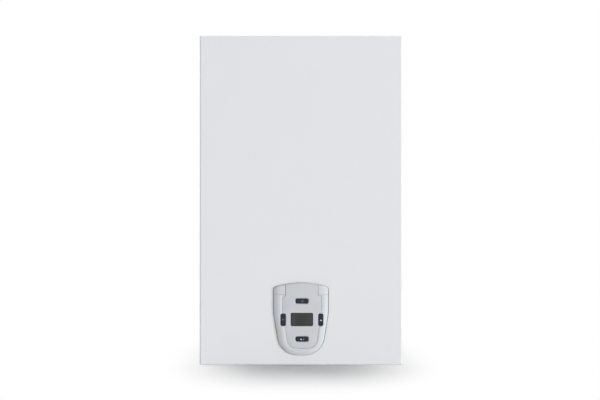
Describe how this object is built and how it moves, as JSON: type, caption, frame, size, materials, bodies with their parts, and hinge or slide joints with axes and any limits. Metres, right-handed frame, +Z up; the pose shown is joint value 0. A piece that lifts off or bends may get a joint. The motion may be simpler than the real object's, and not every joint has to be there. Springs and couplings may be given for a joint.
{
  "type": "tankless gas water heater",
  "caption": "Wall-hung tankless gas water heater: a tall white sheet-steel casing with a shield-shaped grey control panel low on its front.",
  "frame": {"origin": "centre of the wall bracket's two screw holes, on the wall plane, 70 mm below the casing's top", "axes": "+Z up, +Y into the wall, so the front faces -Y; +X to the right as seen from the front"},
  "size_m": [0.404, 0.248, 0.658],
  "materials": {
    "cover_paint": "fine-textured white powder coat, satin",
    "frame_paint": "white powder coat, satin",
    "zinc_steel": "zinc-plated, semi-bright",
    "rim_silver": "silver-grey moulding, semi-gloss",
    "fascia_grey": "light grey moulding, satin",
    "display_glass": "dark tinted window, glossy",
    "key_navy": "dark navy, semi-gloss",
    "board_green": "solder-masked circuit board",
    "dark_plastic": "dark moulded plastic",
    "white_plastic": "natural white moulding",
    "flue_steel": "plain stainless sheet",
    "chamber_steel": "aluminised steel sheet",
    "motor_black": "black painted motor shell",
    "seal_rubber": "silicone rubber",
    "sight_glass": "clear heat-resisting glass",
    "copper": "bare copper",
    "burner_steel": "stainless burner steel",
    "brass": "machined brass",
    "valve_aluminium": "die-cast aluminium",
    "ceramic": "glazed white ceramic"
  },
  "bodies": {
    "casing": {"front_cover": "cover_paint", "back_panel": "frame_paint", "top_plate": "frame_paint", "bottom_plate": "frame_paint", "wall_bracket": "zinc_steel", "case_screws": "zinc_steel", "gas_feed_pipe": "zinc_steel", "panel_housing": "rim_silver", "panel_bezel": "rim_silver", "panel_fascia": "fascia_grey", "lcd_window": "display_glass", "display_board": "board_green", "main_board": "board_green", "lcd_module": "dark_plastic", "electronics_box": "dark_plastic", "electronics_lid": "dark_plastic", "igniter_unit": "dark_plastic", "gas_valve_coils": "dark_plastic", "flow_sensor_body": "dark_plastic", "temperature_sensor": "dark_plastic", "cable_gland": "dark_plastic", "display_cable": "dark_plastic", "overheat_switch": "dark_plastic", "inlet_filter": "white_plastic", "air_switch": "white_plastic", "flue_collar": "flue_steel", "exhaust_spigot": "flue_steel", "fan_housing": "flue_steel", "chamber_box": "chamber_steel", "chamber_lid": "chamber_steel", "flue_hood": "chamber_steel", "fan_motor": "motor_black", "chamber_seal": "seal_rubber", "sensing_tube": "seal_rubber", "ignition_lead": "seal_rubber", "sight_glass": "sight_glass", "combustion_jacket": "copper", "exchanger_fins": "copper", "exchanger_tubes": "copper", "cold_pipe": "copper", "hot_pipe": "copper", "burner_frame": "burner_steel", "burner_bars": "burner_steel", "gas_manifold": "burner_steel", "electrode_rods": "burner_steel", "gas_injectors": "brass", "gas_inlet_fitting": "brass", "cold_inlet_fitting": "brass", "hot_outlet_fitting": "brass", "drain_plug": "brass", "gas_valve_body": "valve_aluminium", "electrode_insulators": "ceramic"},
    "upper_key": {"button_top": "key_navy"},
    "left_key": {"button_left": "key_navy"},
    "right_key": {"button_right": "key_navy"},
    "lower_key": {"button_bottom": "key_navy"},
    "fan_rotor": {"fan_impeller": "flue_steel", "fan_shaft": "flue_steel"},
    "flow_rotor": {"flow_turbine": "white_plastic"},
    "armatures": {"valve_armatures": "burner_steel"}
  },
  "joints": [
    {"name": "upper_key_press", "type": "slide", "parent": "casing", "child": "upper_key", "axis": [0, 1, 0], "range_m": [0, 0.0008], "stiffness_N_per_m": 600, "springref_m": -0.0008},
    {"name": "left_key_press", "type": "slide", "parent": "casing", "child": "left_key", "axis": [0, 1, 0], "range_m": [0, 0.0008], "stiffness_N_per_m": 600, "springref_m": -0.0008},
    {"name": "right_key_press", "type": "slide", "parent": "casing", "child": "right_key", "axis": [0, 1, 0], "range_m": [0, 0.0008], "stiffness_N_per_m": 600, "springref_m": -0.0008},
    {"name": "lower_key_press", "type": "slide", "parent": "casing", "child": "lower_key", "axis": [0, 1, 0], "range_m": [0, 0.0008], "stiffness_N_per_m": 600, "springref_m": -0.0008},
    {"name": "fan_spin", "type": "hinge", "parent": "casing", "child": "fan_rotor", "pos_m": [-0.034, -0.098, -0.0117], "axis": [0, -1, 0], "continuous": true},
    {"name": "flow_turbine_spin", "type": "hinge", "parent": "casing", "child": "flow_rotor", "pos_m": [0.14, -0.1, -0.4675], "axis": [0, 0, 1], "continuous": true},
    {"name": "gas_valve_lift", "type": "slide", "parent": "casing", "child": "armatures", "axis": [0, -1, 0], "range_m": [0, 0.003], "stiffness_N_per_m": 400, "springref_m": -0.002}
  ]
}
